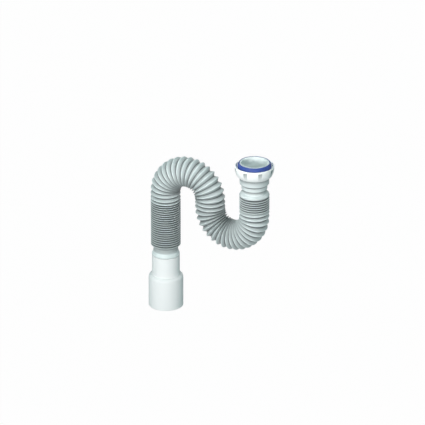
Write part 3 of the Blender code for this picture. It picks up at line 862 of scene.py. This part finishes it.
seal_rubber, shader, wire = new_material("blue_rubber", 0.55, 0.3)
bloom = noise(wire, BLOOM_SPOTS, 4.0)
plug(mix_colour(wire, bloom, RUBBER_BLUE, RUBBER_BLOOM), shader, "Base Color")
plug(0.5 + bloom * 0.12, shader, "Roughness")
plug(bumped(wire, 0.15, 0.05 * MM, noise(wire, RUBBER_GRAIN)), shader, "Normal")
print("The mouldings are", sleeve_plastic.name, "and", nut_plastic.name, "and the seal is", seal_rubber.name)

# %% [markdown]
# ## Most pieces ride on a body
#
# The bends and the seal stay with the pipe, the sleeve goes with the outlet, and the nut turns. The outlet leg rides
# on no body here: its place is baked into its mesh, and the two ends of its closed folds are noted.

# %% Finish, body and CAD node of each piece
FITTINGS = (
    (outlet_leg, pipe_plastic, "pipe_plastic", "corrugated_pipe", None),
    (bends, pipe_plastic, "pipe_plastic", "corrugated_pipe", "pipe"),
    (seal, seal_rubber, "seal_rubber", "cone_seal", "pipe"),
    (nut, nut_plastic, "nut_plastic", "union_nut", "nut"),
    (sleeve, sleeve_plastic, "sleeve_plastic", "outlet_sleeve", "outlet"),
)
for piece, material, slot, node, body in FITTINGS:
    piece.data.materials.clear()
    piece.data.materials.append(material)
    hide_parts(node)
    if body:
        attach(piece, body)

leg_top = (OUTLET_X, FOOT_Y + open_start, AXIS_Z)
leg_foot = (OUTLET_X, FOOT_Y + leg_start, AXIS_Z)
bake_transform(outlet_leg)
print("The leg stretches over", round((open_start - leg_start) / MM, 1), "mm of closed folds")

# %% [markdown]
# ## Floor, world and light
#
# The picture has a plain white ground. The floor is white to the camera, and lit a little as well, so that the pipe
# keeps a soft shadow. A lit white sheet would do that too, but then its light would fall on the object as well. So
# the floor glows only for rays that come straight from the camera, a reflection or something clear.

# %% White floor
WHITE = (1, 1, 1, 1)
FLOOR_MATT = (0.31, 0.36, 0.36, 1)
FLOOR_GLOW = 0.985
FLOOR_SIDE = 6.0


def seen_directly(wire):
    """1 for a ray from the camera, a reflection or a clear material, and 0 for light that falls on the object."""
    path = wire.tree.nodes.new("ShaderNodeLightPath")
    rays = [Wire(wire.tree, path.outputs[f"Is {kind} Ray"]) for kind in ("Camera", "Glossy", "Transmission")]
    return (rays[0] + rays[1] + rays[2]).clamped()


bpy.ops.object.select_all(action="DESELECT")
bpy.ops.mesh.primitive_plane_add(size=FLOOR_SIDE)
floor = bpy.context.object
floor.name = "floor"
floor_white = bpy.data.materials.new("floor_white")
floor_white.use_nodes = True
wire = Wire(floor_white.node_tree)
seen = seen_directly(wire) * FLOOR_GLOW
matt = wire.add("ShaderNodeBsdfDiffuse", {}, {"Color": FLOOR_MATT})
glow = wire.add("ShaderNodeEmission", {}, {"Color": WHITE, "Strength": 1.0})
both = wire.add("ShaderNodeMixShader", {}, {0: seen, 1: matt, 2: glow})
wire.tree.links.new(both.socket, wire.tree.nodes["Material Output"].inputs["Surface"])
floor.data.materials.append(floor_white)
print("The floor is", FLOOR_SIDE, "m wide")

# %% [markdown]
# The world's background is mixed in the same way: the camera and the reflections see white, and what fills the shade
# is weak and slightly cool, as the shades in the picture are. It is stronger from the inlet's end of the floor, which
# lights the side of each fold that faces there a little more.

# %% World
AMBIENT = (0.56, 0.93, 0.92, 1)
AMBIENT_STRENGTH = 0.34
AMBIENT_SLOPE = 0.14

world = bpy.data.worlds.new("white_surround")
bpy.context.scene.world = world
world.use_nodes = True
wire = Wire(world.node_tree)
seen = seen_directly(wire)
way = wire.add("ShaderNodeTexCoord", {}, {}, "Generated")
along_pipe = wire.add("ShaderNodeSeparateXYZ", {}, {"Vector": way}, "Y")
strength = AMBIENT_STRENGTH + along_pipe * AMBIENT_SLOPE
fill = wire.add("ShaderNodeBackground", {}, {"Color": AMBIENT, "Strength": strength})
white = wire.add("ShaderNodeBackground", {}, {"Color": WHITE, "Strength": 1.0})
both = wire.add("ShaderNodeMixShader", {}, {0: seen, 1: fill, 2: white})
wire.tree.links.new(both.socket, wire.tree.nodes["World Output"].inputs["Surface"])
print("The world fills the shade with a strength of", AMBIENT_STRENGTH)

# %% [markdown]
# ## Camera
#
# The picture was taken from far away with a long lens, a little from the right and from above the standing S. For
# the lying pipe, that is a camera that looks down at it.

# %% The camera
TURN = math.radians(27.7)
RISE = math.radians(24.0)
TO_CAMERA = Vector((math.sin(TURN) * math.cos(RISE), math.sin(RISE), math.cos(TURN) * math.cos(RISE)))
CAMERA_UP = Vector((-math.sin(TURN) * math.sin(RISE), math.cos(RISE), -math.cos(TURN) * math.sin(RISE)))
CAMERA_RIGHT = CAMERA_UP.cross(TO_CAMERA)
AIM = Vector((0.00274, 0.03419, 0.0281))
VIEW_WIDTH = 0.606
LENS = 500.0
SENSOR = 36.0

bpy.ops.object.camera_add(location=AIM + TO_CAMERA * VIEW_WIDTH * LENS / SENSOR)
camera = bpy.context.object
camera.data.lens = LENS
camera.data.sensor_width = SENSOR
camera.rotation_euler = TO_CAMERA.to_track_quat("Z", "Y").to_euler()
bpy.context.view_layer.update()
turned_up = camera.matrix_world.to_3x3() @ Vector((0, 1, 0))
roll = math.atan2(turned_up.dot(CAMERA_RIGHT), turned_up.dot(CAMERA_UP))
camera.rotation_euler.rotate_axis("Z", roll)
bpy.context.scene.camera = camera
print("The camera stands", round(VIEW_WIDTH * LENS / SENSOR, 2), "m away and was rolled by", round(roll, 4))

# %% [markdown]
# Two lamps light the picture. The key lamp is a soft square to the left of the line from the camera to the object and
# a little below it, placed by the camera's own directions. The top lamp is weak and narrow, and shines down into the
# inlet's mouth, which the key lamp can't reach. The lamps are slightly warm, so that lit plastic looks neutral in the
# cool surround.

# %% The lamps
KEY_LEFT, KEY_DOWN, KEY_NEAR = 0.66, 0.45, 1.9
KEY_COLOUR = (1.0, 0.90, 0.91)
TOP_PLACE = Vector((0.085, 0.38, 0.23))
TOP_AIM = Vector((0.05, 0.11, 0.03))
TOP_COLOUR = (1.0, 0.97, 0.97)


def area_lamp(name, place, aim, size, power, colour, spread=180):
    """A square lamp at a place, turned to look at its aim."""
    bpy.ops.object.light_add(type="AREA", location=place)
    lamp = bpy.context.object
    lamp.name = name
    lamp.data.size = size
    lamp.data.energy = power
    lamp.data.color = colour
    lamp.data.spread = math.radians(spread)
    lamp.rotation_euler = (place - aim).to_track_quat("Z", "Y").to_euler()
    print(name, "stands", round((place - aim).length, 2), "m away, with", power, "W")


key_place = AIM - CAMERA_RIGHT * KEY_LEFT - CAMERA_UP * KEY_DOWN + TO_CAMERA * KEY_NEAR
area_lamp("key_lamp", key_place, AIM, size=0.5, power=33, colour=KEY_COLOUR)
area_lamp("top_lamp", TOP_PLACE, TOP_AIM, size=0.18, power=0.06, colour=TOP_COLOUR, spread=42)
bpy.context.scene.view_settings.view_transform = "Standard"

# %% [markdown]
# ## The end
#
# The visual model stays inside the CAD model's box.

# %% Finish
bpy.context.view_layer.update()
